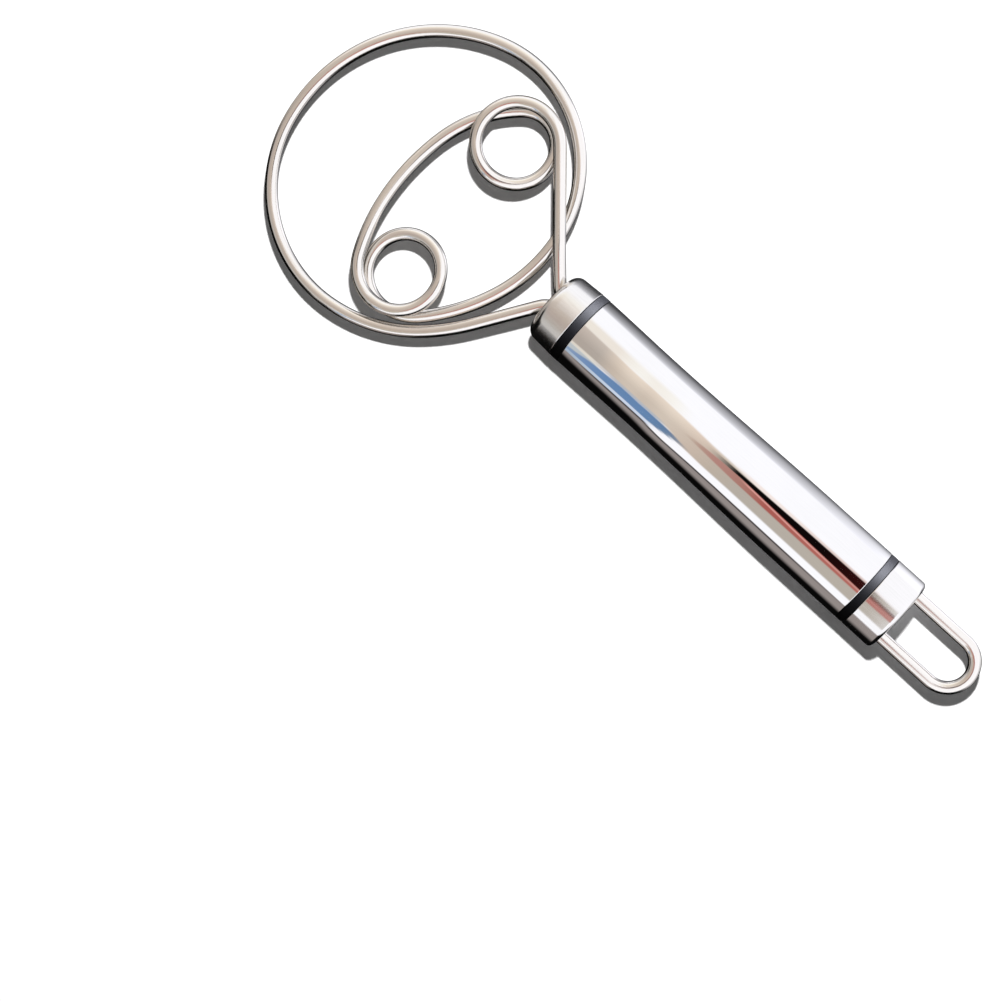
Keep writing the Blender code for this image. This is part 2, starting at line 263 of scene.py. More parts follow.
def finished(name, mesh_data, paint, node, sharp_above=SHARP_ABOVE):
    """Turns a bmesh in the handle frame into a piece that stands for a CAD node, or a cutter for none."""
    bmesh.ops.recalc_face_normals(mesh_data, faces=mesh_data.faces)
    bmesh.ops.translate(mesh_data, verts=mesh_data.verts, vec=HANDLE_AT)
    bmesh.ops.scale(mesh_data, verts=mesh_data.verts, vec=(MM, MM, MM))
    mesh = bpy.data.meshes.new(name)
    mesh_data.to_mesh(mesh)
    mesh_data.free()
    mesh.shade_smooth()
    mesh.set_sharp_from_angle(angle=math.radians(sharp_above))
    if paint:
        mesh.materials.append(paint)
    piece = bpy.data.objects.new(name, mesh)
    bpy.context.scene.collection.objects.link(piece)
    if node:
        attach(piece, "root")
        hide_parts(node)
    return piece


def frame_slot(node):
    """The record's slot of a CAD node, which is the name of its material."""
    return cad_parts[node].data.materials[0].name.split(".")[0]


def bridge(mesh_data, before, after):
    """Faces between two rings of vertices; a ring of one vertex is a tip on the axis."""
    count = max(len(before), len(after))
    for side in range(count):
        corners = [before[side % len(before)], before[(side + 1) % len(before)],
                   after[(side + 1) % len(after)], after[side % len(after)]]
        unique = list(dict.fromkeys(corners))
        if len(unique) > 2:
            mesh_data.faces.new(unique)


def turned_mesh(outline, sides=TURNED_SIDES, centre_y=0.0):
    """A solid turned about a line along x from an outline of (x, radius)."""
    mesh_data = bmesh.new()
    rings = []
    for x, radius in outline:
        count = 1 if radius < 1e-6 else sides
        ring = []
        for side in range(count):
            angle = 2.0 * math.pi * side / sides
            place = (x, centre_y + radius * math.cos(angle), radius * math.sin(angle))
            ring.append(mesh_data.verts.new(place))
        rings.append(ring)
    for before, after in zip(rings, rings[1:]):
        bridge(mesh_data, before, after)
    if outline[0][1] > 1e-6:
        bridge(mesh_data, rings[-1], rings[0])
    return mesh_data


def swept_mesh(route, radius, sides=WIRE_SIDES):
    """Round wire along a route, with the coordinates it had before it was bent kept as an attribute."""
    mesh_data = bmesh.new()
    drawn = mesh_data.verts.layers.float_vector.new("drawn")
    before = None
    length = 0.0
    for index, point in enumerate(route):
        if index:
            length += (point - route[index - 1]).length
        ahead = route[min(index + 1, len(route) - 1)] - route[max(index - 1, 0)]
        along = ahead.normalized()
        across = Vector((-along.y, along.x, 0.0)).normalized()
        upward = along.cross(across)
        ring = []
        for side in range(sides):
            angle = 2.0 * math.pi * side / sides
            out = radius * math.cos(angle)
            up = radius * math.sin(angle)
            vertex = mesh_data.verts.new(point + out * across + up * upward)
            vertex[drawn] = Vector((length, out, up)) * MM
            ring.append(vertex)
        if before is None:
            mesh_data.faces.new(ring)
        else:
            bridge(mesh_data, before, ring)
        before = ring
    mesh_data.faces.new(before)
    return mesh_data


def cut(target, cutters):
    """Takes the cutters' volume out of the target for good, and removes them."""
    for cutter in cutters:
        taken = target.modifiers.new("cut", "BOOLEAN")
        taken.operation = "DIFFERENCE"
        taken.solver = "EXACT"
        taken.object = cutter
    bpy.context.view_layer.update()
    evaluated = target.evaluated_get(bpy.context.evaluated_depsgraph_get())
    mesh = bpy.data.meshes.new_from_object(evaluated)
    target.modifiers.clear()
    target.data = mesh
    mesh.name = target.name
    mesh.shade_smooth()
    mesh.set_sharp_from_angle(angle=math.radians(SHARP_ABOVE))
    for cutter in cutters:
        bpy.data.objects.remove(cutter)


# Materials.

EVEN = (1.0, 1.0, 1.0)          # no stretch of the surface's coordinates
NOISE_LOW = 0.3                 # noise runs between about these two values
NOISE_HIGH = 0.7
LINES_SHARE = 0.55              # of the wear that follows the polishing lines; haze makes the rest


def new_material(name):
    made = bpy.data.materials.new(name)
    made.use_nodes = True
    return made, made.node_tree, made.node_tree.nodes["Principled BSDF"]


def add(tree, kind, settings=(), **sockets):
    """A node with its settings and sockets; i0 is the first socket, i1 the second.

    A socket's value is a number, a vector or another node's output.
    """
    node = tree.nodes.new("ShaderNode" + kind)
    for key, value in dict(settings).items():
        setattr(node, key, value)
    for key, value in sockets.items():
        socket = node.inputs[int(key[1:])] if key[0] == "i" and key[1:].isdigit() else node.inputs[key]
        if isinstance(value, bpy.types.NodeSocket):
            tree.links.new(value, socket)
        else:
            socket.default_value = value
    return node


def coordinates(tree, stretch, attribute=None):
    """The surface's own coordinates in metres times a stretch along each axis."""
    if attribute:
        start = add(tree, "Attribute", {"attribute_name": attribute}).outputs["Vector"]
    else:
        start = add(tree, "TexCoord").outputs["Object"]
    mapping = add(tree, "Mapping", {"vector_type": "POINT"}, Vector=start, Scale=stretch)
    return mapping.outputs["Vector"]


def noise(tree, vector, scale, detail, roughness):
    texture = add(tree, "TexNoise", Vector=vector, Scale=scale, Detail=detail, Roughness=roughness)
    return texture.outputs["Fac"]


def spread(tree, value, low, high):
    """A noise's value mapped to a range."""
    sockets = {"Value": value, "From Min": NOISE_LOW, "From Max": NOISE_HIGH, "To Min": low, "To Max": high}
    return add(tree, "MapRange", **sockets).outputs["Result"]


def blended(tree, factor, first, second):
    """A colour between two, by a noise's value."""
    ramp = add(tree, "ValToRGB", Fac=factor)
    ramp.color_ramp.elements[0].color = (*first, 1.0)
    ramp.color_ramp.elements[1].color = (*second, 1.0)
    ramp.color_ramp.elements[0].position = NOISE_LOW
    ramp.color_ramp.elements[1].position = NOISE_HIGH
    return ramp.outputs["Color"]


def math_node(tree, operation, first, second):
    return add(tree, "Math", {"operation": operation}, i0=first, i1=second).outputs["Value"]


def bump(tree, height, distance, normal=None):
    sockets = {"Height": height, "Distance": distance, "Strength": 1.0}
    if normal:
        sockets["Normal"] = normal
    return add(tree, "Bump", **sockets).outputs["Normal"]


def steel(name, dark, light, gloss, grain, ripple, attribute=None):
    """Bright steel: polishing lines, a faint haze in the gloss, and slow ripples left by forming.

    gloss is the roughness at its sharpest and dullest. grain and ripple are (stretch, scale, height), with
    the height in metres. attribute names coordinates to use in place of the object's own.
    """
    made, tree, shader = new_material(name)
    grain_stretch, grain_scale, grain_height = grain
    ripple_stretch, ripple_scale, ripple_height = ripple
    haze_scale = 55.0
    lines = noise(tree, coordinates(tree, grain_stretch, attribute), grain_scale, 3.0, 0.65)
    haze = noise(tree, coordinates(tree, EVEN, attribute), haze_scale, 3.0, 0.6)
    waves = noise(tree, coordinates(tree, ripple_stretch, attribute), ripple_scale, 1.0, 0.4)
    line_wear = math_node(tree, "MULTIPLY", lines, LINES_SHARE)
    haze_wear = math_node(tree, "MULTIPLY", haze, 1.0 - LINES_SHARE)
    worn = math_node(tree, "ADD", line_wear, haze_wear)
    tree.links.new(blended(tree, worn, dark, light), shader.inputs["Base Color"])
    tree.links.new(spread(tree, worn, *gloss), shader.inputs["Roughness"])
    formed = bump(tree, waves, ripple_height)
    tree.links.new(bump(tree, lines, grain_height, formed), shader.inputs["Normal"])
    shader.inputs["Metallic"].default_value = 1.0
    return made


def moulded(name, dark, light, gloss, grain_scale, grain_height, specular):
    """Black rubber or nylon: fine matt grain with paler rubbed places."""
    made, tree, shader = new_material(name)
    rubbed_scale = 130.0
    plain = coordinates(tree, EVEN)
    grain = noise(tree, plain, grain_scale, 4.0, 0.7)
    rubbed = noise(tree, plain, rubbed_scale, 3.0, 0.6)
    tree.links.new(blended(tree, rubbed, dark, light), shader.inputs["Base Color"])
    tree.links.new(spread(tree, rubbed, *gloss), shader.inputs["Roughness"])
    tree.links.new(bump(tree, grain, grain_height), shader.inputs["Normal"])
    shader.inputs["Specular IOR Level"].default_value = specular
    return made


# The pieces that show.

def make_whisk(route, paint):
    wire = swept_mesh(route, WIRE_RADIUS)
    finished("bent_wire", wire, paint, "whisk_wire", WIRE_SHARP_ABOVE)


def make_front_collar(route, paint):
    """A drawn cup with a wide soft shoulder; the wire comes out of two close holes in it."""
    face, inner, inner_corner, edge = 1.0, 9.55, 1.5, 0.28
    rear = COLLAR_END + SEAM / 2
    shell = [(0.0, 0.0), (0.0, FRONT_RADIUS), (rear, FRONT_RING_RADIUS), (rear, inner),
             (-face - inner_corner, inner), (-face, inner - inner_corner), (-face, 0.0)]
    outline = rounded(shell, {1: (FRONT_SHOULDER, 20), 2: (edge, 5)})
    front_flat = subdivided(outline[0], outline[1], FLAT_STEPS)
    collar = finished("collar_front", turned_mesh(front_flat + outline[1:]), paint, "front_collar")
    reach = 5.0                 # of a hole's cutter, before and behind the flat face
    most = 40                   # points looked at from each of the wire's ends
    holes = []
    for stretch in (route[:most], route[:-most:-1]):
        near = [point for point in stretch if -reach < point.x < reach]
        cutter = swept_mesh(near, WIRE_RADIUS + HOLE_SEAM, HOLE_SIDES)
        holes.append(finished("hole", cutter, None, None))
    cut(collar, holes)


def make_ring(name, front, rear, radius, seat_radius, paint, node):
    """A rubber ring a hair below the steel, slightly crowned between its rounded edges."""
    front -= SEAM / 2
    rear += SEAM / 2
    edge, sunk, crowned, steps = 0.18, 0.05, 0.03, 10
    top = radius - sunk
    crown = []
    for step in range(1, steps):
        part = step / steps
        x = front + (rear - front) * part
        crown.append((x, top + crowned * math.sin(math.pi * part)))
    corners = [(front, seat_radius), (front, top)] + crown + [(rear, top), (rear, seat_radius)]
    outline = rounded(corners, {1: (edge, 4), len(corners) - 2: (edge, 4)})
    return finished(name, turned_mesh(outline), paint, node)


def make_tube(paint):
    """The hollow tube, with a point on its outside every 1.1 mm and on its inside every sixth of those."""
    front = RING_END - SEAM / 2
    rear = TUBE_END + SEAM / 2
    edge, steps, inside_every = 0.22, 90, 6
    places = [front + (rear - front) * step / steps for step in range(1, steps)]
    outer = [(x, tube_radius(x)) for x in places]
    front_radius, rear_radius = tube_radius(front), tube_radius(rear)
    corners = [(front, front_radius - WALL), (front, front_radius)] + outer
    corners += [(rear, rear_radius), (rear, rear_radius - WALL)]
    corners += [(x, radius - WALL) for x, radius in outer[::-inside_every]]
    outline = rounded(corners, {1: (edge, 5), len(outer) + 2: (edge, 5)})
    finished("tube_shell", turned_mesh(outline), paint, "handle_tube")


def make_rear_collar(paint):
    """A drawn cup with a soft edge and a hole for each leg of the hanging loop."""
    face, edge = 1.1, 0.25
    front = REAR_RING_END - SEAM / 2
    inner = REAR_RADIUS - WALL
    shell = [(HANDLE_END, 0.0), (HANDLE_END, REAR_RADIUS), (front, REAR_RADIUS), (front, inner),
             (HANDLE_END + face, inner), (HANDLE_END + face, 0.0)]
    outline = rounded(shell, {1: (REAR_SHOULDER, 16), 2: (edge, 5)})
    rear_flat = subdivided(outline[0], outline[1], FLAT_STEPS)
    collar = finished("collar_rear", turned_mesh(rear_flat + outline[1:]), paint, "rear_collar")
    radius = WIRE_RADIUS + HOLE_SEAM
    past = 1.0                  # how far a hole's cutter goes past the end's thickness on both sides
    hole_start = HANDLE_END - past
    hole_end = HANDLE_END + face + past
    hole = [(hole_start, 0.0), (hole_start, radius), (hole_end, radius), (hole_end, 0.0)]
    holes = []
    for y in (LOOP_HALF_WIDTH, -LOOP_HALF_WIDTH):
        holes.append(finished("hole", turned_mesh(hole, LEG_HOLE_SIDES, y), None, None))
    cut(collar, holes)


def make_loop(paint):
    wire = swept_mesh(loop_route(), WIRE_RADIUS)
    finished("loop_wire", wire, paint, "hanging_loop", WIRE_SHARP_ABOVE)


def paint_inner_pieces(plain_steel, black_nylon):
    """Better materials for the CAD nodes sealed inside the handle."""
    for node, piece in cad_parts.items():
        slot_name = frame_slot(node)
        if slot_name == "plain_steel":
            piece.data.materials[0] = plain_steel
        elif slot_name == "black_nylon":
            piece.data.materials[0] = black_nylon


# The studio: a white table, one small lamp beside the camera, and a tent of coloured cards that only
# polished steel sees.

CAMERA_AT = HANDLE_AT * MM + Vector((-79.62, -54.19, 563.76)) * MM
CAMERA_AIM = HANDLE_AT * MM + Vector((-25.10, 49.01, 0.0)) * MM
CAMERA_LENS = 76.685
SENSOR_WIDTH = 36.0
CLIP_START = 0.01
PICTURE_UP = Vector((0.6666, -0.7454, 0.0)).normalized()
PICTURE_RIGHT = Vector((-0.7454, -0.6666, 0.0)).normalized()

KEY_FROM_CAMERA = Vector((83.0, -133.0, 0.0)) * MM
KEY_ENERGY = 53.8
KEY_RADIUS = 0.0125
FILL_STRENGTH = 0.117
SHEEN_LEAN = math.radians(72.0)         # from straight up towards -y
SHEEN_ENERGY = 165.0
SHEEN_WIDTH = math.radians(60.0)
SHEEN_COLOR = (0.86, 0.88, 1.0)

FLOOR_RADIUS = 0.45
FLOOR_SIDES = 128
FLOOR_COLORS = ((0.860, 0.860, 0.858), (0.875, 0.875, 0.875))
MOTTLE_SCALE = 9.0
BACKDROP_RADIUS = 7.5
TENT_RADIUS = 1.0
TENT_SIDES = 240


def make_camera():
    data = bpy.data.cameras.new("camera")
    data.lens = CAMERA_LENS
    data.sensor_width = SENSOR_WIDTH
    data.clip_start = CLIP_START
    camera = bpy.data.objects.new("camera", data)
    backward = (CAMERA_AT - CAMERA_AIM).normalized()
    right = PICTURE_UP.cross(backward).normalized()
    upward = backward.cross(right)
    turn = Matrix((right, upward, backward)).transposed().to_4x4()
    camera.matrix_world = Matrix.Translation(CAMERA_AT) @ turn
    bpy.context.scene.collection.objects.link(camera)
    bpy.context.scene.camera = camera


def only_for(piece, camera=False, glossy=False):
    """Which rays see a stage object."""
    piece.visible_camera = camera
    piece.visible_diffuse = False
    piece.visible_glossy = glossy
    piece.visible_transmission = False
    piece.visible_volume_scatter = False
    piece.visible_shadow = False


def make_floor():
    """A pale matt round table top; the backdrop goes on in the same white."""
    mesh_data = bmesh.new()
    bmesh.ops.create_circle(mesh_data, cap_ends=True, segments=FLOOR_SIDES, radius=FLOOR_RADIUS)
    mesh = bpy.data.meshes.new("floor")
    mesh_data.to_mesh(mesh)
    mesh_data.free()
    made, tree, shader = new_material("table_white")
    mottle = noise(tree, coordinates(tree, EVEN), MOTTLE_SCALE, 3.0, 0.5)
    tree.links.new(blended(tree, mottle, *FLOOR_COLORS), shader.inputs["Base Color"])
    shader.inputs["Roughness"].default_value = 1.0
    shader.inputs["Specular IOR Level"].default_value = 0.0
    mesh.materials.append(made)
    floor = bpy.data.objects.new("floor", mesh)
    bpy.context.scene.collection.objects.link(floor)
    floor.visible_glossy = False


def glowing(name, attribute=None):
    """A glow of its own, white or of a colour attribute, that lights nothing."""
    made = bpy.data.materials.new(name)
    made.use_nodes = True
    tree = made.node_tree
    tree.nodes.clear()
    light = add(tree, "Emission", Strength=1.0)
    if attribute:
        glow = add(tree, "Attribute", {"attribute_name": attribute}).outputs["Color"]
        tree.links.new(glow, light.inputs["Color"])
    out = add(tree, "OutputMaterial")
    tree.links.new(light.outputs["Emission"], out.inputs["Surface"])
    made.cycles.emission_sampling = "NONE"
    return made


def window(value, low, high, soft_low, soft_high):
    """1 between low and high, 0 outside, with soft edges."""
    inside_low = smooth_step(low - soft_low / 2, low + soft_low / 2, value)
    return inside_low * smooth_step(high + soft_high / 2, high - soft_high / 2, value)


def at(stations, x):
    """The value at x, between the stations on both sides of it; a station is (x, value or colour)."""
    if x <= stations[0][0]:
        return stations[0][1]
    for (before, first), (after, second) in zip(stations, stations[1:]):
        if x <= after:
            part = (x - before) / (after - before)
            if isinstance(first, tuple):
                return tuple(a + (b - a) * part for a, b in zip(first, second))
            return first + (second - first) * part
    return stations[-1][1]


# Cards of the tent, later ones over earlier ones. Angles go round the handle's axis, in degrees, positive
# towards -y, from a line that leans by LEAN from straight up towards -y. Places along the handle are in
# millimetres at the tent's radius: the whisk reflects what is ahead of 150, the front collar 205 to 310, the
# tube 141 to -137, the rear collar -137 to -180 and the hanging loop what is behind -170.
# "low" and "high" are a card's edges as stations of (place, angle), and "soft" is how soft each edge is.
# "span" is its first and last place, then how soft each of these ends is. "color" is stations of (place,
# colour), and "tilt" makes it brighter with the angle, by that share for each degree above -30.
LEAN = 11.7
TILT_FROM = -30.0
FAR = 1e5
WHITE = (1.21, 1.22, 1.28)
BLACK = (0.003, 0.003, 0.003)
CARDS = (
    {   # the warm ceiling
        "low": ((16, -65), (40, -67), (56, -65), (64, -50), (141, -51), (200, -60), (400, -75)),
        "high": ((-400, 0), (-150, 1), (46, 0), (60, 3), (70, 6), (80, 9), (141, 11), (200, 14)),
        "soft": (7, 8), "span": (-176, FAR, 16, 1),
        "color": ((10, (0.58, 0.53, 0.47)), (34, (0.62, 0.54, 0.46)), (52, (0.72, 0.60, 0.51)),
                  (66, (0.80, 0.70, 0.60)), (74, (0.70, 0.60, 0.51)), (90, (0.54, 0.48, 0.43)),
                  (141, (0.53, 0.46, 0.41)), (230, (0.66, 0.57, 0.49)), (245, (0.56, 0.48, 0.42)),
                  (290, (0.56, 0.48, 0.42)), (310, (0.68, 0.58, 0.50))),
        "tilt": 0.009,
    },
    {   # cream edge of the white
        "low": ((66, 6), (141, 9)), "high": ((0, 34),), "soft": (8, 16), "span": (64, 150, 8, 10),
        "color": ((66, (1.16, 1.14, 1.08)), (80, (1.05, 0.98, 0.90)), (141, (1.04, 0.98, 0.89))),
    },
    {   # light strip between the ceiling and the blue card
        "low": ((66, -54), (86, -56), (141, -57)), "high": ((66, -47), (86, -47), (141, -49)),
        "soft": (4, 5), "span": (65, 150, 4, 6),
        "color": ((67, (0.50, 0.55, 0.62)), (78, (0.74, 0.72, 0.74)), (98, (0.94, 0.88, 0.78)),
                  (141, (0.88, 0.82, 0.73))),
    },
    {   # pale grey below it
        "low": ((0, -75),), "high": ((0, -56),), "soft": (3, 4), "span": (84, 150, 16, 6),
        "color": ((0, (0.62, 0.67, 0.70)),),
    },
    {   # left wall seen by the collar and the whisk
        "low": ((0, -80),), "high": ((0, -62),), "soft": (8, 12), "span": (148, FAR, 8, 1),
        "color": ((0, (0.70, 0.66, 0.61)),),
    },
    {   # blue card
        "low": ((50, -63), (56, -66), (61, -76), (66, -80), (141, -81)),
        "high": ((50, -60), (56, -58), (61, -54), (70, -54), (78, -57), (98, -61), (118, -68), (141, -72)),
        "soft": (4, 4), "span": (53, 146, 6, 8),
        "color": ((55, (0.30, 0.34, 0.40)), (61, (0.15, 0.26, 0.44)), (68, (0.16, 0.30, 0.55)),
                  (100, (0.21, 0.34, 0.60)), (141, (0.32, 0.43, 0.62))),
    },
    {   # its pale edge
        "low": ((0, -90),), "high": ((0, -80),), "soft": (1, 4), "span": (64, 150, 4, 6),
        "color": ((66, (0.80, 0.90, 1.10)), (78, (0.66, 0.78, 0.96)), (128, (0.46, 0.58, 0.72))),
    },
    {   # white above, for the hanging loop
        "low": ((0, -86),), "high": ((0, 8),), "soft": (2, 2), "span": (-262, -177, 14, 8),
        "color": ((0, WHITE),),
    },
    {   # red card behind
        "low": ((-220, -34), (20, -35), (40, -33), (59, -30)),
        "high": ((-220, -15), (-60, -17), (16, -14), (40, -17), (50, -21), (60, -27)),
        "soft": (5, 3), "span": (-235, 55, 20, 12),
        "color": ((-210, (0.62, 0.47, 0.43)), (-185, (0.60, 0.42, 0.38)), (-165, (0.60, 0.26, 0.24)),
                  (-137, (0.56, 0.18, 0.15)), (-20, (0.48, 0.13, 0.11)),
                  (10, (0.50, 0.24, 0.20)), (40, (0.56, 0.30, 0.26)), (56, (0.56, 0.42, 0.34))),
    },
    {   # bright line between the red card and the flag
        "low": ((-137, -28), (-60, -25), (-20, -22), (14, -20)),
        "high": ((-137, -24), (-60, -21), (-20, -18), (14, -16)),
        "soft": (3, 2), "span": (-143, 12, 4, 16),
        "color": ((-122, (0.72, 0.36, 0.32)), (-93, (0.88, 0.42, 0.38))),
    },
    {   # warm fringe above the flag
        "low": ((0, -3),), "high": ((0, 6),), "soft": (2, 7), "span": (-143, 20, 4, 40),
        "color": ((-122, (0.88, 0.70, 0.66)), (-60, (1.12, 1.0, 0.96))),
    },
    {   # black flag behind
        "low": ((-137, -23), (-78, -20), (-20, -17), (16, -15), (44, -17)),
        "high": ((-137, 1), (-49, -2), (16, -5), (44, -7)),
        "soft": (2, 3), "span": (-143, 36, 5, 30),
        "color": ((-137, (0.040, 0.006, 0.006)), (-100, (0.006, 0.003, 0.003)), (-20, (0.004, 0.003, 0.003))),
    },
    {   # its dark red tail in the rear collar
        "low": ((0, -19),), "high": ((0, -11),), "soft": (5, 5), "span": (-182, -148, 4, 6),
        "color": ((-172, (0.05, 0.01, 0.01)), (-163, (0.30, 0.13, 0.11)), (-148, (0.44, 0.28, 0.24))),
    },
)

# The two low sides get darker towards the floor. On the right: (angle, brightness) for the tube's front and
# for its rear, and (place, share of the rear).
RIGHT_FRONT = (
    (86, 1.25), (94, 0.68), (104, 0.39), (114, 0.26),
    (124, 0.15), (134, 0.06), (150, 0.05), (180, 0.05),
)
RIGHT_REAR = (
    (88, 1.25), (104, 1.17), (114, 1.05), (124, 0.87),
    (134, 0.60), (144, 0.35), (160, 0.15), (180, 0.1),
)
RIGHT_TINT = (0.97, 0.98, 1.06)
REAR_SHARE = ((-150, 1.3), (-122, 0.92), (-60, 0.52), (16, 0.34), (60, 0.26), (141, 0.0))

# On the left: a dim shelf from one (place, angle) to another, with a dark line at its start. Black below it.
SHELF_START = (
    (-20, -88), (18, -89), (40, -91), (56, -95),
    (62, -94), (66, -89), (141, -88), (190, -78),
)
SHELF_END = (
    (-170, -121), (60, -120), (67, -114), (78, -109),
    (98, -107), (128, -104), (141, -101), (190, -76),
)
SHELF_COLOR = (0.36, 0.32, 0.31)
LINE_COLOR = (0.07, 0.06, 0.06)

# What the front collar reflects, ahead of the cards: stations of (angle, colour).
AHEAD = (
    (-112, (0.01, 0.01, 0.01)), (-102, (0.11, 0.10, 0.09)), (-92, (0.44, 0.42, 0.41)),
    (-84, (0.68, 0.66, 0.65)), (-76, (0.76, 0.75, 0.74)), (-68, (0.66, 0.64, 0.63)),
    (-60, (0.55, 0.53, 0.50)), (-34, (0.56, 0.48, 0.44)), (-20, (0.62, 0.54, 0.48)),
    (-10, (0.68, 0.60, 0.54)), (4, (0.75, 0.67, 0.60)), (12, (0.86, 0.77, 0.70)),
    (24, (1.00, 0.92, 0.83)), (40, (1.16, 1.13, 1.06)), (60, WHITE),
)

# The places where the tent has the colours of AHEAD, and the span of places where it has them lower than
# LOW_LEFT on the left.
AHEAD_FROM = (205, 245)
AHEAD_LOW_SPAN = (238, 312, 24, 24)
LOW_LEFT = -72
SIDE_START = 87.5               # the angle where the right side starts

# The white overhead, in millimetres at the tent's radius along the picture's up and right.
BEYOND_FROM = (200, 290)
BEYOND_PLACES = (150, 190)
BESIDE_FROM = (150, 200)
HANDLE_SPAN = (-182, 150, 6, 30)

# The tent's ends below the horizon. The edges are components of a direction, and each is soft from the first
# number to the second.
END_X = (0.35, 0.7)
END_TOP_Z = (0.1, -0.05)
END_BOTTOM_Z = (-0.65, -0.35)
WALL_AHEAD = (0.62, 0.56, 0.50)
WALL_AHEAD_Y = (-0.5, 0.0)
WALL_BEHIND = (0.62, 0.62, 0.64)
WALL_BEHIND_X = (0.7, 0.96)
LOW_SIDE_Y = (0.10, 0.45)
LOW_SIDE_X = (0.27, 0.40)
LOW_SIDE_TOP_Z = 0.16
LOW_SIDE_RISE = 0.2             # towards the picture's left
LOW_SIDE_SOFT = 0.08


def side_color(angle, place):
    """The two low sides of the tent, about 88 degrees from straight up and further."""
    if angle > 0:
        rear_share = at(REAR_SHARE, place)
        value = at(RIGHT_FRONT, angle) * (1 - rear_share) + at(RIGHT_REAR, angle) * rear_share
        return Vector(RIGHT_TINT) * value
    start = at(SHELF_START, place)
    shelf = window(angle, at(SHELF_END, place), -80, 22, 1)
    line = window(angle, start - 6, start + 10, 5, 1) * window(place, -110, 100, 90, 70)
    return Vector(BLACK).lerp(Vector(SHELF_COLOR), shelf).lerp(Vector(LINE_COLOR), line)


def card_color(angle, place):
    """The cards that lie there, over the white of the tent."""
    color = Vector(WHITE)
    for card in CARDS:
        first, last, fade_first, fade_last = card["span"]
        share = window(place, first, last, fade_first, fade_last)
        if share:
            share *= window(angle, at(card["low"], place), at(card["high"], place), *card["soft"])
            tilt = 1.0 + card.get("tilt", 0.0) * max(angle - TILT_FROM, 0.0)
            color = color.lerp(Vector(at(card["color"], place)) * tilt, share)
    return color


def white_share(direction, place):
    """The white overhead: beyond the whisk on the -y side, and beside it except over the handle."""
    if direction.z <= 0.0:
        return 0.0
    overhead = direction / max(direction.z, 1e-3) * TENT_RADIUS / MM
    beyond = smooth_step(*BEYOND_FROM, overhead.dot(PICTURE_UP)) * smooth_step(*BEYOND_PLACES, place)
    beyond *= smooth_step(0.1, -0.05, direction.y)
    beside = smooth_step(*BESIDE_FROM, overhead.dot(PICTURE_RIGHT)) * (1.0 - window(place, *HANDLE_SPAN))
    return max(beyond, beside)


def side_share(angle, place):
    """The low sides' share: all of it from about 88 degrees, or from the shelf's start on the left."""
    start = SIDE_START if angle > 0 else -at(SHELF_START, place)
    return smooth_step(start - 1, start + 1, abs(angle))


def ahead_share(angle, place):
    """The share of what the front collar reflects; low on the left the whisk sees past it."""
    if angle >= RIGHT_FRONT[0][0]:
        return 0.0
    if angle < LOW_LEFT:
        return window(place, *AHEAD_LOW_SPAN)
    return smooth_step(*AHEAD_FROM, place)


def tent_color(direction):
    """What the tent shows in a direction from the handle's middle."""
    angle = math.degrees(math.atan2(-direction.y, direction.z)) - LEAN
    if angle < -180.0:
        angle += 360.0
    place = direction.x / max(math.hypot(direction.y, direction.z), 1e-3) * TENT_RADIUS / MM
    color = card_color(angle, place)
    color = color.lerp(Vector(WHITE), white_share(direction, place))
    color = color.lerp(side_color(angle, place), side_share(angle, place))
    color = color.lerp(Vector(at(AHEAD, angle)), ahead_share(angle, place))
    color = color.lerp(end_color(direction), end_share(direction))
    return color.lerp(Vector(BLACK), low_side_share(direction))


def end_share(direction):
    """The tent's ends below the horizon, ahead of the whisk and behind the loop."""
    return smooth_step(*END_X, abs(direction.x)) * smooth_step(*END_TOP_Z, direction.z)


def end_color(direction):
    """White, but for a warm wall ahead and a grey one behind; black far down."""
    if direction.x > 0:
        wall = Vector(WHITE).lerp(Vector(WALL_AHEAD), smooth_step(*WALL_AHEAD_Y, direction.y))
    else:
        wall = Vector(WHITE).lerp(Vector(WALL_BEHIND), smooth_step(*WALL_BEHIND_X, -direction.x))
    return Vector(BLACK).lerp(wall, smooth_step(*END_BOTTOM_Z, direction.z))


def low_side_share(direction):
    """The black low wall on the +y side, where it shows past both ends of the handle."""
    sideways = direction.y / max(math.hypot(direction.x, direction.y), 1e-3)
    share = smooth_step(*LOW_SIDE_Y, sideways) * smooth_step(*LOW_SIDE_X, abs(direction.x))
    top = LOW_SIDE_TOP_Z + LOW_SIDE_RISE * max(-direction.dot(PICTURE_RIGHT), 0.0)
    return share * smooth_step(top + LOW_SIDE_SOFT, top - LOW_SIDE_SOFT, direction.z)


def tent_turns():
    """The tent's rings in degrees from square to the handle: close together where it reflects them."""
    near_step, near_steps, near_end = 0.2, 75, 15.0
    far_step, far_steps, pole = 3.0, 24, 90.0
    near = [near_step * step for step in range(-near_steps, near_steps + 1)]
    far = [near_end + far_step * step for step in range(1, far_steps + 1)]
    return [-pole] + [-turn for turn in far[::-1]] + near + far + [pole]


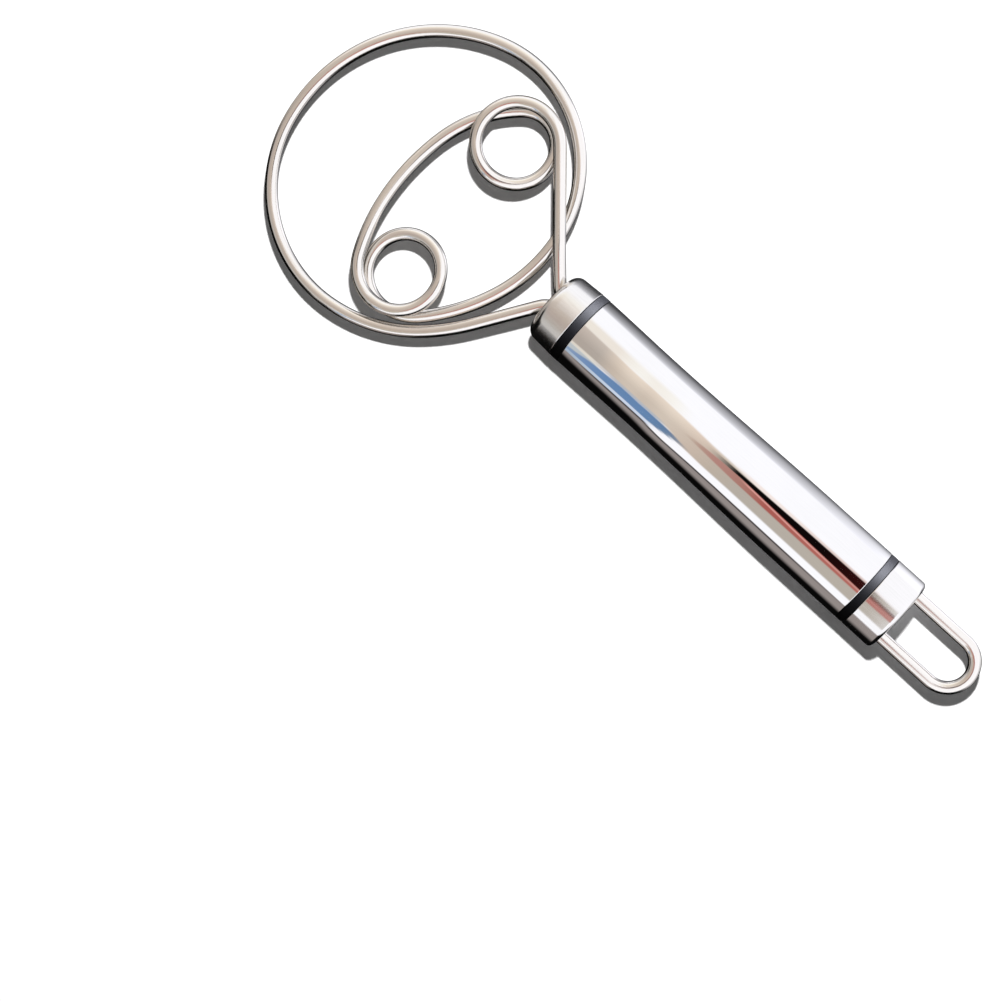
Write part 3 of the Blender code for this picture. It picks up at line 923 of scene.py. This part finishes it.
def make_tent():
    """A globe seen only in reflections, so that the cards don't light the table."""
    mesh_data = bmesh.new()
    glow = mesh_data.verts.layers.float_color.new("glow")
    rings = []
    for turn in tent_turns():
        out = math.radians(turn)
        wide = math.cos(out)
        ring = []
        for step in range(TENT_SIDES if abs(turn) < 90.0 else 1):
            angle = 2.0 * math.pi * step / TENT_SIDES
            direction = Vector((math.sin(out), -wide * math.sin(angle), wide * math.cos(angle)))
            vertex = mesh_data.verts.new(direction * TENT_RADIUS)
            vertex[glow] = (*tent_color(direction), 1.0)
            ring.append(vertex)
        rings.append(ring)
    for before, after in zip(rings, rings[1:]):
        bridge(mesh_data, before, after)
    mesh = bpy.data.meshes.new("tent")
    mesh_data.to_mesh(mesh)
    mesh_data.free()
    mesh.materials.append(glowing("tent_glow", "glow"))
    tent = bpy.data.objects.new("tent", mesh)
    tent.location = (0.0, HANDLE_AT.y * MM, HANDLE_AT.z * MM)
    bpy.context.scene.collection.objects.link(tent)
    only_for(tent, glossy=True)


def make_backdrop():
    """White all round behind the table, for the camera only."""
    mesh_data = bmesh.new()
    bmesh.ops.create_icosphere(mesh_data, subdivisions=4, radius=BACKDROP_RADIUS)
    mesh = bpy.data.meshes.new("backdrop")
    mesh_data.to_mesh(mesh)
    mesh_data.free()
    mesh.materials.append(glowing("backdrop_white"))
    backdrop = bpy.data.objects.new("backdrop", mesh)
    bpy.context.scene.collection.objects.link(backdrop)
    only_for(backdrop, camera=True)


def make_lights(rings):
    """A small lamp beside the camera, a dim even fill, and a soft sheen on the rubber rings alone."""
    data = bpy.data.lights.new("key", "POINT")
    data.energy = KEY_ENERGY
    data.shadow_soft_size = KEY_RADIUS
    data.use_nodes = True
    tree = data.node_tree
    falloff = add(tree, "LightFalloff", Strength=1.0)
    tree.links.new(falloff.outputs["Constant"], tree.nodes["Emission"].inputs["Strength"])
    key = bpy.data.objects.new("key", data)
    key.location = CAMERA_AT + KEY_FROM_CAMERA
    key.visible_glossy = False
    key.visible_camera = False
    bpy.context.scene.collection.objects.link(key)

    sheen_data = bpy.data.lights.new("ring_sheen", "SUN")
    sheen_data.energy = SHEEN_ENERGY
    sheen_data.angle = SHEEN_WIDTH
    sheen_data.color = SHEEN_COLOR
    sheen = bpy.data.objects.new("ring_sheen", sheen_data)
    towards = Vector((0.0, -math.sin(SHEEN_LEAN), math.cos(SHEEN_LEAN)))
    sheen.rotation_euler = towards.to_track_quat("Z", "Y").to_euler()
    sheen.location = towards
    bpy.context.scene.collection.objects.link(sheen)
    lit = bpy.data.collections.new("lit_by_ring_sheen")
    for ring in rings:
        lit.objects.link(ring)
    sheen.light_linking.receiver_collection = lit

    world = bpy.data.worlds.new("studio")
    world.use_nodes = True
    background = world.node_tree.nodes["Background"]
    background.inputs["Color"].default_value = (1.0, 1.0, 1.0, 1.0)
    background.inputs["Strength"].default_value = FILL_STRENGTH
    bpy.context.scene.world = world


def make_materials():
    """Every material by its use.

    The polishing lines run along the handle or the drawn wire, and round the turned pieces inside.
    """
    return {
        "tube": steel(
            "polished_steel", (0.78, 0.77, 0.76), (0.82, 0.81, 0.80), gloss=(0.012, 0.032),
            grain=((0.05, 1.0, 1.0), 2600.0, 3e-7), ripple=((0.35, 1.0, 1.0), 95.0, 2.2e-5)),
        "front": steel(
            "satin_steel", (0.75, 0.73, 0.71), (0.81, 0.80, 0.78), gloss=(0.14, 0.21),
            grain=((0.04, 1.0, 1.0), 2600.0, 2e-6), ripple=(EVEN, 60.0, 2e-5)),
        "rear": steel(
            "gloss_steel", (0.76, 0.75, 0.73), (0.82, 0.80, 0.79), gloss=(0.07, 0.12),
            grain=((0.04, 1.0, 1.0), 2600.0, 1e-6), ripple=(EVEN, 80.0, 2e-5)),
        "wire": steel(
            "drawn_steel", (0.77, 0.74, 0.70), (0.84, 0.81, 0.77), gloss=(0.11, 0.19),
            grain=((0.04, 1.0, 1.0), 2400.0, 2e-6), ripple=((0.5, 1.0, 1.0), 160.0, 3e-5),
            attribute="drawn"),
        "inner": steel(
            "turned_steel", (0.52, 0.52, 0.53), (0.62, 0.62, 0.63), gloss=(0.32, 0.46),
            grain=((1.0, 0.05, 0.05), 2500.0, 4e-6), ripple=(EVEN, 60.0, 1e-5)),
        "rubber": moulded(
            "ring_rubber", (0.0004, 0.0004, 0.0005), (0.0008, 0.0008, 0.0009), gloss=(0.50, 0.58),
            grain_scale=5200.0, grain_height=6e-6, specular=0.05),
        "nylon": moulded(
            "plug_nylon", (0.024, 0.024, 0.024), (0.040, 0.040, 0.040), gloss=(0.45, 0.58),
            grain_scale=3800.0, grain_height=1e-5, specular=0.5),
    }


def main():
    make_camera()
    paints = make_materials()
    rubber = paints["rubber"]
    route = whisk_route()
    make_whisk(route, paints["wire"])
    make_front_collar(route, paints["front"])
    front = make_ring(
        "rubber_front", COLLAR_END, RING_END, FRONT_RING_RADIUS, FRONT_SEAT_RADIUS, rubber, "front_ring")
    make_tube(paints["tube"])
    rear = make_ring(
        "rubber_rear", TUBE_END, REAR_RING_END, REAR_RADIUS, REAR_SEAT_RADIUS, rubber, "rear_ring")
    make_rear_collar(paints["rear"])
    make_loop(paints["wire"])
    paint_inner_pieces(paints["inner"], paints["nylon"])
    make_floor()
    make_tent()
    make_backdrop()
    make_lights((front, rear))
    bpy.context.scene.view_settings.view_transform = "Standard"


main()
